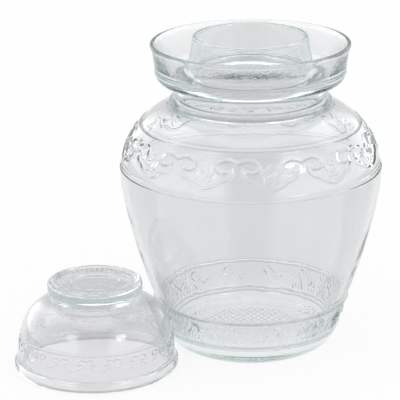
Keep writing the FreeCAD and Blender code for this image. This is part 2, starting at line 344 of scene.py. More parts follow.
@dataclass(frozen=True)
class Arches:
    """Arches of the water pattern: ridges along ellipses about a point at the foot of the band.

    Args:
        across: The point, in millimetres across the repeat.
        foot: The point, in millimetres down from the top.
        widths: Half the width of each arch.
        tall: How many times as high as half its width an arch is.
        width: Half a ridge's width.
        rise: A ridge's height.
    """

    across: float
    foot: float
    widths: tuple[float, ...] = (3.0, 5.4, 7.8, 10.2)
    tall: float = 1.25
    width: float = 1.0
    rise: float = 0.4

    def height(self, across: Array, down: Array) -> Array:
        """The arches' height: rise * cos^2 of the distance from the nearest ellipse, out to the width.

        Args:
            across: Millimetres across the repeat, from its middle.
            down: Millimetres down from its top.

        Returns:
            The height at each place, in millimetres.
        """
        away = np.hypot(across - self.across, (down - self.foot) / self.tall)
        near = np.min([np.abs(away - w) for w in self.widths], axis=0)
        return self.rise * swell(near / self.width)


@dataclass(frozen=True)
class Grain:
    """The fine unevenness of the ground between an ornament's forms.

    Args:
        rise: Its height, in millimetres.
        across: How many waves it has across a repeat.
        down: How fast it waves down the band, in radians a millimetre.
        sway: How far the waves across are shifted down the band, in radians, and how fast, in radians a
            millimetre.
        drift: How far the waves down the band are shifted across it, in radians, and how often in a repeat.
        ground: The height of a form, in millimetres, from which it shows no more.
    """

    rise: float
    across: int = 7
    down: float = 1.5
    sway: tuple[float, float] = (1.4, 0.7)
    drift: tuple[float, int] = (1.1, 3)
    ground: float = 0.3

    def laid_on(self, rise: Array, bearing: Array, down: Array) -> Array:
        """Add the grain to the forms.

        It is cos(across * b + s) * cos(down * d + r), where b is the bearing within the repeat, d the
        distance down, s = sway * sin of the distance down and r = drift * cos of the bearing. It fades out
        as a form rises to the ground's height.

        Args:
            rise: The forms' height, in millimetres.
            bearing: The angle round the axis times the number of repeats.
            down: Millimetres down from the band's top.

        Returns:
            The height with the grain.
        """
        far, fast = self.sway
        wide, often = self.drift
        lobes = np.cos(bearing * self.across + far * np.sin(down * fast))
        lobes = lobes * np.cos(down * self.down + wide * np.cos(bearing * often))
        return rise + self.rise * lobes * (1 - np.clip(rise / self.ground, 0, 1))


@dataclass(frozen=True)
class Frieze:
    """An ornament that repeats round a piece.

    Args:
        forms: The forms of one repeat.
        repeats: How many times it goes round.
        turn: The bearing of one repeat's middle, in degrees from +X.
        radius: The radius at which the forms keep their width, in millimetres.
        length: The distance from the band's foot, along the profile, to the line that the forms' places down
            are measured from.
        scale: How large the forms are drawn.
        grain: The unevenness of the ground between the forms, or None.
        fade: How far from the length's two ends the forms sink away, in millimetres.
    """

    forms: tuple[Ridge | Blossom | Arches, ...]
    repeats: int
    turn: float
    radius: float
    length: float
    scale: float = 1.0
    grain: Grain | None = None
    fade: float = 0.8

    def relief(self, angle: Array, along: Array) -> Array:
        """How far the ornament stands out.

        The band runs up the profile, so the distance down from its top is its length less the distance
        along it. Across, the place within a repeat is the angle from the repeat's middle times the radius.
        The highest form counts, those of the two neighbours included.

        Args:
            angle: The angle round the axis.
            along: The distance along the run, in millimetres.

        Returns:
            The rise in millimetres, for each angle and distance.
        """
        pitch = 2 * math.pi / self.repeats
        share = np.mod((angle - math.radians(self.turn)) / pitch + 0.5, 1.0) - 0.5
        whole = pitch * self.radius / self.scale
        across, down = np.broadcast_arrays(share * whole, (self.length - along) / self.scale)
        rise = np.zeros(across.shape)
        for form in self.forms:
            for shift in (-whole, 0.0, whole):
                rise = np.maximum(rise, form.height(across + shift, down))
        if self.grain:
            rise = self.grain.laid_on(rise, angle * self.repeats, down)
        return rise * smooth_step(0.0, self.fade, along) * smooth_step(0.0, self.fade, self.length - along)


@dataclass(frozen=True)
class FootRings:
    """The rings pressed in the top of the lid's foot: a row of pearls and a plain ring inside it.

    Args:
        start: The radius at which the run begins, in millimetres. It runs towards the axis.
        pearl_ring: The radius on which the pearls stand.
        pearls: How many pearls there are.
        pearl: A pearl's radius.
        ring: The plain ring's radius.
        ring_width: Half the plain ring's width.
        rise: How far pearls and ring stand out.
    """

    start: float
    pearl_ring: float = 23.0
    pearls: int = 42
    pearl: float = 1.25
    ring: float = 16.7
    ring_width: float = 1.0
    rise: float = 0.6

    def relief(self, angle: Array, along: Array) -> Array:
        """The rise of the pearls, cos^2 of the distance from the nearest pearl's middle, and of the ring.

        Args:
            angle: The angle round the axis.
            along: The distance along the run, in millimetres.

        Returns:
            The rise in millimetres, for each angle and distance.
        """
        radius = self.start - along
        pitch = 2 * math.pi / self.pearls
        across = (np.mod(angle / pitch + 0.5, 1.0) - 0.5) * pitch * self.pearl_ring
        pearls = swell(np.hypot(across, radius - self.pearl_ring) / self.pearl)
        ring = swell((radius - self.ring) / self.ring_width)
        return self.rise * np.maximum(pearls, ring)


CLOUD = (
    Ridge(((0.0, 8.3), (3.2, 6.9), (7.0, 6.2), (11.0, 6.9), (13.8, 9.0), (14.4, 11.5), (13.0, 13.5),
           (9.6, 14.2), (6.6, 13.7)), width=1.9, rise=1.0),
    Ridge(((4.0, 11.8), (4.1, 15.2), (6.6, 18.5), (11.0, 20.1), (13.9, 22.2), (17.3, 23.9), (22.0, 25.3)),
          width=1.7, rise=0.9),
)
"""A cloud: a head of two lobes that dip between them and curl in at their ends, and two tails under it."""

WAVE = Ridge(((9.0, 11.5), (11.5, 12.6), (14.5, 11.0), (17.0, 7.6), (19.5, 5.2), (22.3, 5.4), (23.4, 8.0),
              (21.8, 9.8)), width=1.7, rise=1.1, both_sides=False)
"""A long crest of the water pattern, which rises between two arches and curls over."""

CLOUD_BAND = CLOUD + (Blossom(22.0, 15.7), )
"""The shoulder's band: a cloud, and a flower where two repeats meet."""

WATER_BAND = (Arches(0.0, 20.0), WAVE)
"""The base's band: arches, and a crest where two repeats meet."""


# ---------------------------------------------------------------- shader nodes


def feed(tree: Tree, socket: Socket, value: Value | Shade) -> None:
    """Give an input its value: a link where the value is a socket, and a plain number or colour otherwise."""
    if isinstance(value, Socket):
        tree.links.new(value, socket)
    else:
        socket.default_value = value


def math_node(tree: Tree, kind: str, *values: Value) -> Socket:
    """Add a math node.

    Args:
        tree: The node tree.
        kind: The node's operation.
        values: A socket or a number for each of its inputs.

    Returns:
        The node's output.
    """
    node = tree.nodes.new("ShaderNodeMath")
    node.operation = kind
    for socket, value in zip(node.inputs, values):
        feed(tree, socket, value)
    return node.outputs[0]


def smooth_ramp(tree: Tree, value: Value, ends: tuple[Value, Value], to: tuple[float, float]) -> Socket:
    """Add a smooth ramp: 3 t^2 - 2 t^3 of the share t of the way between the ends, scaled to the new ends.

    Args:
        tree: The node tree.
        value: What drives it.
        ends: The values at which it starts and ends.
        to: What it puts out there.

    Returns:
        The node's output.
    """
    node = tree.nodes.new("ShaderNodeMapRange")
    node.interpolation_type = "SMOOTHSTEP"
    for name, number in zip(("Value", "From Min", "From Max", "To Min", "To Max"), (value, *ends, *to)):
        feed(tree, node.inputs[name], number)
    return node.outputs["Result"]


def between(tree: Tree, value: Value, ends: tuple[float, float]) -> Socket:
    """Add a mask that is 1 where the value lies between the ends, and 0 elsewhere."""
    return math_node(tree, "MULTIPLY", math_node(tree, "GREATER_THAN", value, ends[0]),
                     math_node(tree, "LESS_THAN", value, ends[1]))


def mix_shaders(tree: Tree, share: Value, first: Socket, second: Socket) -> Socket:
    """Mix two shaders.

    Args:
        tree: The node tree.
        share: How much of the second shows.
        first: The first shader.
        second: The second.

    Returns:
        The mixed shader.
    """
    node = tree.nodes.new("ShaderNodeMixShader")
    for socket, value in zip(node.inputs, (share, first, second)):
        feed(tree, socket, value)
    return node.outputs["Shader"]


def looked_at(tree: Tree) -> Socket:
    """Add a mask of what is looked at: the greatest of Light Path's camera, glossy and transmission rays.

    Args:
        tree: The node tree.

    Returns:
        1 where the thing is seen, mirrored or seen through glass, and 0 where it only lights others.
    """
    path = tree.nodes.new("ShaderNodeLightPath").outputs
    seen = math_node(tree, "MAXIMUM", path["Is Camera Ray"], path["Is Glossy Ray"])
    return math_node(tree, "MAXIMUM", seen, path["Is Transmission Ray"])


# ---------------------------------------------------------------- finishes


SKIN = "pressed_glass_skin"
"""The name of the node group that both pieces' glass uses."""
SKIN_INPUTS = {"Low Cast": "NodeSocketColor", "High Cast": "NodeSocketColor", "Clear From": "NodeSocketFloat",
               "Clear To": "NodeSocketFloat", "Foot From": "NodeSocketFloat", "Foot To": "NodeSocketFloat",
               "Waves": "NodeSocketFloat"}
"""The group's inputs and their kinds."""
WAVE_SCALE = 45.0
"""How many of the glass's faint waves lie along a metre."""
WAVE_DETAIL = 2.0
"""How many times finer waves are added to them."""


def pressed_glass_skin() -> Tree:
    """Make the node group of what varies over any pressed glass here, or find it if it is made already.

    The cast passes from the high one to the low one above the foot, between Foot From and Foot To, and back
    to the high one between Lighter From and Lighter To, as smooth ramps of the height. On the jar the high
    cast is painted light: its neck and trough painted lighter as if they mirrored light from above, and its
    foot painted lighter. The height put out is a soft noise times Waves.

    Returns:
        The node group, with the outputs Cast and Height.
    """
    if SKIN in bpy.data.node_groups:
        return bpy.data.node_groups[SKIN]
    tree = bpy.data.node_groups.new(SKIN, "ShaderNodeTree")
    for name, kind in SKIN_INPUTS.items():
        tree.interface.new_socket(name, in_out="INPUT", socket_type=kind)
    tree.interface.new_socket("Cast", in_out="OUTPUT", socket_type="NodeSocketColor")
    tree.interface.new_socket("Height", in_out="OUTPUT", socket_type="NodeSocketFloat")
    given = tree.nodes.new("NodeGroupInput").outputs
    put_out = tree.nodes.new("NodeGroupOutput").inputs
    place = tree.nodes.new("ShaderNodeTexCoord").outputs["Object"]
    split = tree.nodes.new("ShaderNodeSeparateXYZ")
    feed(tree, split.inputs[0], place)
    z = split.outputs["Z"]
    # Painted light: the share of the lighter high cast, in the foot and high up.
    clear = math_node(tree, "MAXIMUM",
                      smooth_ramp(tree, z, (given["Clear From"], given["Clear To"]), (0.0, 1.0)),
                      smooth_ramp(tree, z, (given["Foot From"], given["Foot To"]), (1.0, 0.0)))
    mix = tree.nodes.new("ShaderNodeMix")
    mix.data_type = "RGBA"
    low, high = [socket for socket in mix.inputs if socket.type == "RGBA"]
    for socket, value in ((mix.inputs[0], clear), (low, given["Low Cast"]), (high, given["High Cast"])):
        feed(tree, socket, value)
    noise = tree.nodes.new("ShaderNodeTexNoise")
    for name, value in (("Vector", place), ("Scale", WAVE_SCALE), ("Detail", WAVE_DETAIL)):
        feed(tree, noise.inputs[name], value)
    feed(tree, put_out["Cast"], next(socket for socket in mix.outputs if socket.type == "RGBA"))
    feed(tree, put_out["Height"], math_node(tree, "MULTIPLY", noise.outputs["Fac"], given["Waves"]))
    return tree


@dataclass(frozen=True)
class DarkLine:
    """Painted shade along a mould line: a band of the cast painted darker where the line shows dark.

    Args:
        height: The height at which it runs, in metres.
        half: Half its width.
        depth: How much of the cast it takes away in its middle.
        core: The share of its width over which it is darkest.
    """

    height: float
    half: float
    depth: float
    core: float = 0.4

    def mask(self, tree: Tree, z: Socket) -> Socket:
        """How dark the painted shade is: its depth out to its core, then a smooth ramp to 0 at half its
        width.

        Args:
            tree: The node tree.
            z: The height.

        Returns:
            The share of the cast that it takes away.
        """
        away = math_node(tree, "ABSOLUTE", math_node(tree, "SUBTRACT", z, self.height))
        return smooth_ramp(tree, away, (self.core * self.half, self.half), (self.depth, 0.0))


@dataclass(frozen=True)
class MouldMarks:
    """The jar's mould marks, a net on its floor and stipple, and painted shade and light in its cast.

    Heights and radii are in metres, and depths are shares of the deepest texture.

    Args:
        net_pitch: The width and depth of the net's diamonds.
        net_radius: The radius inside which the net lies.
        net_heights: The heights between which it lies, inside and not under the foot.
        net_depth: The net's depth.
        net_lines: The net's height, of 1 at most, up to which its lines' painted shade is darkest, and where
            it ends.
        net_shade: How much of the cast its lines take away, as painted shade in the net's grooves.
        stipple_scale: How many of the stipple's points lie along a metre.
        stipple_top: The height below which the foot is stippled.
        stipple_inside: The radius inside which it isn't.
        trough_heights: The heights between which the trough's wall is stippled and given painted shade.
        trough_inside: The radius inside which it isn't.
        trough_stipple: The stipple's depth there.
        trough_shade: How much of the cast the wall takes away, as painted shade.
        foot_gain: How many times as bright the foot's cast is, as painted light.
        foot_heights: The heights between which that passes off.
        dark_lines: The painted shade along the mould lines that show dark.
    """

    net_pitch: tuple[float, float] = (0.0050, 0.0072)
    net_radius: float = 0.0365
    net_heights: tuple[float, float] = (0.0062, 0.0080)
    net_depth: float = 1.6
    net_lines: tuple[float, float] = (0.1, 0.55)
    net_shade: float = 0.55
    stipple_scale: float = 620.0
    stipple_top: float = 0.0066
    stipple_inside: float = 0.036
    trough_heights: tuple[float, float] = (0.184, 0.206)
    trough_inside: float = 0.0575
    trough_stipple: float = 0.08
    trough_shade: float = 0.10
    foot_gain: float = 1.08
    foot_heights: tuple[float, float] = (0.010, 0.020)
    dark_lines: tuple[DarkLine, ...] = (DarkLine(0.0142, 0.0009, 0.45), DarkLine(0.0334, 0.0008, 0.3),
                                        DarkLine(0.1546, 0.0008, 0.22), DarkLine(0.1699, 0.0026, 0.4))

    def net(self, tree: Tree, x: Socket, y: Socket) -> Socket:
        """The net: the lesser of |sin(u + v)| and |sin(u - v)|, where u and v pass half a turn in a diamond.

        Args:
            tree: The node tree.
            x: The place across.
            y: The place in depth.

        Returns:
            A height that is 0 on the net's lines and rises between them.
        """
        u, v = [math_node(tree, "MULTIPLY", way, math.pi / pitch)
                for way, pitch in zip((x, y), self.net_pitch)]
        diagonals = [math_node(tree, "ABSOLUTE", math_node(tree, "SINE", math_node(tree, kind, u, v)))
                     for kind in ("ADD", "SUBTRACT")]
        return math_node(tree, "MINIMUM", *diagonals)

    def sockets(self, tree: Tree) -> tuple[Socket, Socket]:
        """Add the nodes of the marks and of the painted shade and light.

        The height is the net on the floor, and the distance from the nearest of many scattered points where
        the glass is stippled. The painted shade is what the trough's wall and the darkest line leave of the
        cast, times the foot's gain, which is painted light.

        Args:
            tree: The node tree.

        Returns:
            The height, and the painted shade and light that the cast is multiplied by.
        """
        place = tree.nodes.new("ShaderNodeTexCoord").outputs["Object"]
        split = tree.nodes.new("ShaderNodeSeparateXYZ")
        feed(tree, split.inputs[0], place)
        x, y, z = split.outputs
        radius = math_node(tree, "SQRT", math_node(tree, "ADD", math_node(tree, "MULTIPLY", x, x),
                                                   math_node(tree, "MULTIPLY", y, y)))
        floor = math_node(tree, "MULTIPLY", math_node(tree, "LESS_THAN", radius, self.net_radius),
                          between(tree, z, self.net_heights))
        foot = math_node(tree, "MULTIPLY", math_node(tree, "LESS_THAN", z, self.stipple_top),
                         math_node(tree, "GREATER_THAN", radius, self.stipple_inside))
        wall = math_node(tree, "MULTIPLY", math_node(tree, "GREATER_THAN", radius, self.trough_inside),
                         between(tree, z, self.trough_heights))
        net = self.net(tree, x, y)
        pressed = math_node(tree, "MULTIPLY", math_node(tree, "MULTIPLY", net, self.net_depth), floor)
        cells = tree.nodes.new("ShaderNodeTexVoronoi")
        feed(tree, cells.inputs["Scale"], self.stipple_scale)
        feed(tree, cells.inputs["Vector"], place)
        rough = math_node(tree, "ADD", foot, math_node(tree, "MULTIPLY", wall, self.trough_stipple))
        stipple = math_node(tree, "MULTIPLY", cells.outputs["Distance"], rough)
        # Painted shade in the net's grooves: the cast darker along its lines.
        net_lines = smooth_ramp(tree, net, self.net_lines, (self.net_shade, 0.0))
        lines = math_node(tree, "MULTIPLY", net_lines, floor)
        # Painted shade: the cast darker along each mould line that shows dark.
        for line in self.dark_lines:
            lines = math_node(tree, "MAXIMUM", lines, line.mask(tree, z))
        # Painted shade: the trough's wall darker in its cast.
        shade = math_node(tree, "SUBTRACT", 1.0, math_node(tree, "MULTIPLY", wall, self.trough_shade))
        # Painted light: the foot's cast brighter.
        gain = smooth_ramp(tree, z, self.foot_heights, (self.foot_gain, 1.0))
        shade = math_node(tree, "MULTIPLY", math_node(tree, "MULTIPLY", shade, gain),
                          math_node(tree, "SUBTRACT", 1.0, lines))
        return math_node(tree, "ADD", pressed, stipple), shade


@dataclass(frozen=True)
class PressedGlass:
    """Clear pressed glass: nearly colourless in a thin wall and grey-green through a thick one.

    Args:
        name: The material's name.
        density: How fast the glass takes up light, for each metre.
        low_cast: The glass's colour low down.
        high_cast: Its lighter colour in the foot and high up. On the jar this is painted light: its neck and
            trough painted lighter as if they mirrored light from above, and its foot painted lighter.
        clear_heights: The heights between which the low cast passes into the high one, in metres.
        foot_heights: The heights between which the foot's cast passes into the low one. They lie below a
            piece whose foot isn't painted lighter.
        marks: The mould's marks, with painted shade and light in the cast, or None.
        depth: The colour that a great thickness tends to.
        ior: The glass's index of refraction.
        waves: The height of the glass's faint waves, as a share of the deepest texture.
        texture: The deepest texture, in metres.
    """

    name: str
    density: float
    low_cast: Shade
    high_cast: Shade
    clear_heights: tuple[float, float]
    foot_heights: tuple[float, float]
    marks: MouldMarks | None = None
    depth: Shade = (0.30, 0.46, 0.45, 1.0)
    ior: float = 1.5
    waves: float = 0.35
    texture: float = 0.0005

    def skin(self, tree: Tree) -> tuple[Socket, Socket]:
        """Place the shared group with this glass's values, and lay marks and painted shade over its output.

        Args:
            tree: The material's node tree.

        Returns:
            The cast and the texture's height.
        """
        group = tree.nodes.new("ShaderNodeGroup")
        group.node_tree = pressed_glass_skin()
        values = (self.low_cast, self.high_cast, *self.clear_heights, *self.foot_heights, self.waves)
        for name, value in zip(SKIN_INPUTS, values):
            feed(tree, group.inputs[name], value)
        cast, height = group.outputs["Cast"], group.outputs["Height"]
        if self.marks is None:
            return cast, height
        pressed, shade = self.marks.sockets(tree)
        scale = tree.nodes.new("ShaderNodeVectorMath")
        scale.operation = "SCALE"
        feed(tree, scale.inputs[0], cast)
        feed(tree, scale.inputs["Scale"], shade)
        return scale.outputs["Vector"], math_node(tree, "ADD", height, pressed)

    def make(self) -> bpy.types.Material:
        """Make the material: a glass shader, its skin, and the colour that its thickness takes up.

        Returns:
            The material.
        """
        material = bpy.data.materials.new(self.name)
        material.use_nodes = True
        tree = material.node_tree
        cast, height = self.skin(tree)
        bump = tree.nodes.new("ShaderNodeBump")
        absorb = tree.nodes.new("ShaderNodeVolumeAbsorption")
        glass, out = tree.nodes["Principled BSDF"], tree.nodes["Material Output"]
        for node, name, value in ((bump, "Strength", 1.0), (bump, "Distance", self.texture),
                                  (bump, "Height", height), (glass, "Base Color", cast),
                                  (glass, "Normal", bump.outputs["Normal"]), (glass, "Roughness", 0.0),
                                  (glass, "IOR", self.ior), (glass, "Transmission Weight", 1.0),
                                  (absorb, "Color", self.depth), (absorb, "Density", self.density),
                                  (out, "Volume", absorb.outputs["Volume"])):
            feed(tree, node.inputs[name], value)
        return material


def cover(piece: bpy.types.Object, material: bpy.types.Material) -> None:
    """Give a piece one material."""
    piece.data.materials.clear()
    piece.data.materials.append(material)


JAR_GLASS = PressedGlass("jar_pressed_glass", density=13.0, low_cast=(0.855, 0.852, 0.864, 1.0),
                         high_cast=(0.92, 0.92, 0.93, 1.0), clear_heights=(0.155, 0.178),
                         foot_heights=(0.014, 0.030), marks=MouldMarks())
# The jar's glass: cast painted lighter in the foot and above the shoulder, and marks with painted shade.
"""The jar's glass, clearer in its foot and above its shoulder, with the mould's marks."""
LID_GLASS = PressedGlass("lid_pressed_glass", density=5.0, low_cast=(0.78, 0.78, 0.795, 1.0),
                         high_cast=(0.80, 0.797, 0.812, 1.0), clear_heights=(0.040, 0.052),
                         foot_heights=(-1.0, -0.9))
"""The lid's glass, a little darker, because its foot is solid."""


# ---------------------------------------------------------------- turned pieces


def new_mesh(name: str, points: Array, faces: Array) -> bpy.types.Object:
    """Make an object of a smooth triangle mesh.

    Args:
        name: The object's name.
        points: Rows of X, Y and Z, in metres.
        faces: Rows of three point numbers.

    Returns:
        The new object, linked to the scene.
    """
    mesh = bpy.data.meshes.new(name)
    mesh.vertices.add(len(points))
    mesh.vertices.foreach_set("co", np.ascontiguousarray(points, dtype=np.float32).ravel())
    mesh.loops.add(faces.size)
    mesh.loops.foreach_set("vertex_index", np.ascontiguousarray(faces, dtype=np.int32).ravel())
    mesh.polygons.add(len(faces))
    mesh.polygons.foreach_set("loop_start", np.arange(0, faces.size, 3, dtype=np.int32))
    mesh.update(calc_edges=True)
    mesh.polygons.foreach_set("use_smooth", np.ones(len(faces), bool))
    mesh.validate()
    mesh.update()
    piece = bpy.data.objects.new(name, mesh)
    bpy.context.scene.collection.objects.link(piece)
    return piece


def strip(lower: int, upper: int, first: int, second: int) -> Array:
    """Triangles between two rows, whose counts are equal or the one a multiple of the other.

    Each edge of the finer row gets a triangle to the nearest place of the coarser row, and each edge of the
    coarser row one to the place of the finer row where the nearest place changes.

    Args:
        lower: How many places the first row has.
        upper: How many the second has.
        first: The number of the first row's first point.
        second: The number of the second row's first point.

    Returns:
        Rows of three point numbers that go anticlockwise as seen from outside.
    """
    few, many = min(lower, upper), max(lower, upper)
    wide, slim = (second, first) if upper >= lower else (first, second)
    ratio = many // few
    place, post = np.arange(many), np.arange(few)
    nearest = (place + ratio // 2) // ratio % few
    table = np.column_stack([nearest + slim, place + wide, (place + 1) % many + wide])
    if few > 1:
        change = (post * ratio + ratio - ratio // 2) % many
        table = np.vstack([table, np.column_stack([post + slim, change + wide, (post + 1) % few + slim])])
    return table[:, ::-1] if upper >= lower else table


@dataclass
class Run:
    """One stretch of a turned piece's profile.

    Args:
        points: Pairs of radius and height, in millimetres, from one end to the other.
        surface: How closely the stretch is divided round the axis.
        relief: The ornament pressed in it, or None. It takes the angle round the axis and the distance along
            the run, and returns how far the glass stands out there, all in radians and millimetres.
    """

    points: Array
    surface: Surface = Surface.PLAIN
    relief: Relief | None = None

    def rise(self) -> Array:
        """Work out how far the glass stands out, from the angle and the distance along the run.

        Returns:
            A row for each point and a column for each place round the axis, in millimetres.
        """
        along = distances(self.points)[:, None]
        angle = np.arange(self.surface.value)[None, :] * 2 * math.pi / self.surface.value
        flat = np.zeros((along.size, angle.size))
        return flat if self.relief is None else flat + self.relief(angle, along)


@dataclass
class TurnedGlass:
    """A closed glass piece: a profile carried round an upright axis, with ornament pressed out of it.

    Args:
        name: The piece's name.
        centre: The axis, as X and Y in metres.
        reach: The largest radius that it may have, in millimetres.
    """

    name: str
    centre: Point = (0.0, 0.0)
    reach: float = math.inf

    def runs(self) -> list[Run]:
        """The profile's stretches in order. The first starts on the axis and the last ends on it."""
        raise NotImplementedError

    def fit(self, low: Place, high: Place) -> None:
        """Take the axis and the reach from the CAD solid that the piece stands for.

        Args:
            low: The lowest corner of the solid's box, in metres.
            high: The highest.
        """
        self.centre = ((low[0] + high[0]) / 2, (low[1] + high[1]) / 2)
        self.reach = (high[0] - low[0]) / 2 / MM - SLACK

    def rows(self) -> tuple[Array, Array, Array]:
        """Lay the runs end to end.

        Returns:
            The profile's points, how many places each has round the axis, and the rise at every place, row
            after row.
        """
        points, counts, rises = [], [], []
        for run in self.runs():
            skip = 1 if points else 0
            points.append(run.points[skip:])
            counts.append(np.full(len(run.points) - skip, run.surface.value))
            rises.extend(run.rise()[skip:])
        count = np.concatenate(counts)
        count[0] = count[-1] = 1
        rises[0] = rises[-1] = np.zeros(1)
        return np.vstack(points), count, np.concatenate(rises)

    def build(self) -> bpy.types.Object:
        """Carry the profile round the axis and make the mesh.

        A point at angle t of a row with radius r and height z stands at ((r + n_r * h) * cos t,
        (r + n_r * h) * sin t, z + n_z * h), where n is the profile's normal and h the ornament's rise there.
        If the widest place passes the reach, all radii shrink by that share.

        Returns:
            The new object, at the origin, with its place in its mesh.
        """
        profile, count, rise = self.rows()
        tangent = np.gradient(profile, axis=0)
        tangent /= np.maximum(np.hypot(*tangent.T), TINY)[:, None]
        normal = np.column_stack([tangent[:, 1], -tangent[:, 0]])
        start = np.concatenate([[0], np.cumsum(count)])
        row = np.repeat(np.arange(len(count)), count)
        angle = (np.arange(start[-1]) - start[row]) * 2 * math.pi / count[row]
        radius = profile[row, 0] + normal[row, 0] * rise
        radius = radius * min(1.0, self.reach / float(radius.max())) * MM
        height = (profile[row, 1] + normal[row, 1] * rise) * MM
        points = np.column_stack([radius * np.cos(angle) + self.centre[0],
                                  radius * np.sin(angle) + self.centre[1], height])
        faces = np.vstack([strip(int(count[n]), int(count[n + 1]), int(start[n]), int(start[n + 1]))
                           for n in range(len(count) - 1)])
        return new_mesh(self.name, points, faces)

    def dress(self, piece: bpy.types.Object, finish: PressedGlass) -> None:
        """Give the piece its glass."""
        cover(piece, finish.make())


# ---------------------------------------------------------------- the jar


@dataclass
class Jar(TurnedGlass):
    """The jar: one pressed glass piece, from its foot to its mouth, with the water trough round the mouth.

    All sizes are in millimetres and all turns in degrees. A point is a radius and a height. A curve is the
    radius of the arc between two points, positive where it turns left on the way up the outside, over the
    rim and down the inside, and a round is a corner's rounding.

    Args:
        name: The piece's name.
        foot: The edge of the flat foot.
        heel_curve: The curve from the foot to the base band.
        band_foot: The base band's lower edge.
        band_head: Its upper edge.
        press_foot: Where the band's water pattern starts.
        press_head: Where it ends.
        widest: The belly's widest place.
        side_curve: The curve from the base band to the belly.
        shoulder_middle: The middle of the shoulder's arc.
        shoulder_curve: The shoulder's arc.
        cloud_foot: The height at which the shoulder's cloud band starts.
        cloud_head: The height at which it ends.
        shoulder_head: The shoulder's upper end, where the collar starts.
        collar_head: The collar's outer edge.
        collar_round: The rounding of that edge.
        neck_foot: The neck's lower end.
        neck_head: The neck's upper end, under the trough.
        base_edge: The outer edge of the trough's base.
        seam: The trough's wall where its ledge starts.
        base_curve: The curve from the base's edge to the seam.
        ledge: The ledge's outer edge.
        lip: The outer edge of the trough's lip.
        flare_curve: The curve from the ledge to the lip.
        lip_inside: The lip's inner edge.
        lip_round: The rounding of the lip's two edges.
        trough_outer: The outer corner of the trough's floor.
        trough_inner: Its inner corner.
        trough_round: The rounding of both.
        mouth: The mouth's outer edge.
        mouth_inside: Its inner edge.
        mouth_round: The rounding of both.
        mouth_base: The throat's upper end, inside the mouth.
        throat_head: The wide part of the throat, at its top.
        throat_foot: The wide part of the throat, at its foot.
        throat_round: The rounding at the throat's two upper corners.
        hollow_widest: The hollow's widest place.
        hollow_shoulder_curve: The curve from the throat to there.
        hollow_band: The hollow at the base band's upper edge.
        hollow_side_curve: The curve down to there.
        hollow_corner: The corner of the hollow's floor.
        floor_round: The rounding of that corner.
        base_lines: The raised lines at the base band's two edges.
        belly_lines: The pair of raised lines at the belly.
        shoulder_line: The raised line above the cloud band.
        clouds: How often the clouds repeat.
        cloud_turn: The bearing of one cloud's middle.
        cloud_radius: The radius at which the clouds keep their width.
        cloud_over: How far past the band's upper end the clouds' places are measured from.
        waves: How often the water pattern repeats.
        wave_turn: The bearing of one repeat's middle.
        wave_radius: The radius at which it keeps its width.
        wave_over: How far past the band's upper end its places are measured from.
        wave_grain: The unevenness of the ground between its forms.
    """

    name: str = "jar_body"
    foot: Point = (49.0, 0.0)
    heel_curve: float = 18.0
    band_foot: Point = (59.5, 14.3)
    band_head: Point = (65.8, 33.2)
    press_foot: Point = (59.93, 15.6)
    press_head: Point = (65.37, 31.9)
    widest: Point = (87.04, 108.46)
    side_curve: float = 452.0
    shoulder_middle: Point = (34.0, 118.58)
    shoulder_curve: float = 54.0
    cloud_foot: float = 128.4
    cloud_head: float = 153.8
    shoulder_head: Point = (54.6, 168.5)
    collar_head: Point = (54.6, 170.7)
    collar_round: float = 0.9
    neck_foot: Point = (50.0, 173.1)
    neck_head: Point = (50.0, 182.3)
    base_edge: Point = (60.0, 183.8)
    seam: Point = (63.5, 189.6)
    base_curve: float = 6.5
    ledge: Point = (64.0, 189.6)
    lip: Point = (67.4, 209.5)
    flare_curve: float = -60.0
    lip_inside: Point = (64.4, 209.5)
    lip_round: float = 1.4
    trough_outer: Point = (58.5, 189.0)
    trough_inner: Point = (42.5, 189.0)
    trough_round: float = 5.0
    mouth: Point = (38.5, 213.8)
    mouth_inside: Point = (35.1, 213.8)
    mouth_round: float = 1.5
    mouth_base: Point = (38.3, 190.5)
    throat_head: Point = (45.5, 179.9)
    throat_foot: Point = (45.5, 167.24)
    throat_round: float = 15.0
    hollow_widest: Point = (83.11, 109.21)
    hollow_shoulder_curve: float = -50.0
    hollow_band: Point = (60.8, 33.2)
    hollow_side_curve: float = -408.7
    hollow_corner: Point = (50.5, 7.0)
    floor_round: float = 12.0
    base_lines: tuple[MouldLine, MouldLine] = (MouldLine(14.3, 0.8, 1.0), MouldLine(33.2, 0.8, 1.0))
    belly_lines: tuple[MouldLine, MouldLine] = (MouldLine(124.8, 0.7, 0.6), MouldLine(127.5, 0.9, 0.3))
    shoulder_line: MouldLine = MouldLine(154.6, 0.8, 0.6)
    clouds: int = 12
    cloud_turn: float = FRONT - 5.9
    cloud_radius: float = 84.0
    cloud_over: float = 1.0
    waves: int = 14
    wave_turn: float = FRONT - 3.5
    wave_radius: float = 62.6
    wave_over: float = 1.4
    wave_grain: Grain = Grain(0.28)

    def shoulder(self, low: float, high: float, rows: int) -> Array:
        """Points on the shoulder's arc between two heights, evenly spaced in angle about its middle.

        Args:
            low: The lower height, in millimetres.
            high: The upper height.
            rows: How many steps to take.

        Returns:
            rows + 1 pairs of radius and height.
        """
        middle_r, middle_z = self.shoulder_middle
        ends = [math.asin((z - middle_z) / self.shoulder_curve) for z in (low, high)]
        angle = np.linspace(*ends, rows + 1)
        return np.column_stack([middle_r + self.shoulder_curve * np.cos(angle),
                                middle_z + self.shoulder_curve * np.sin(angle)])

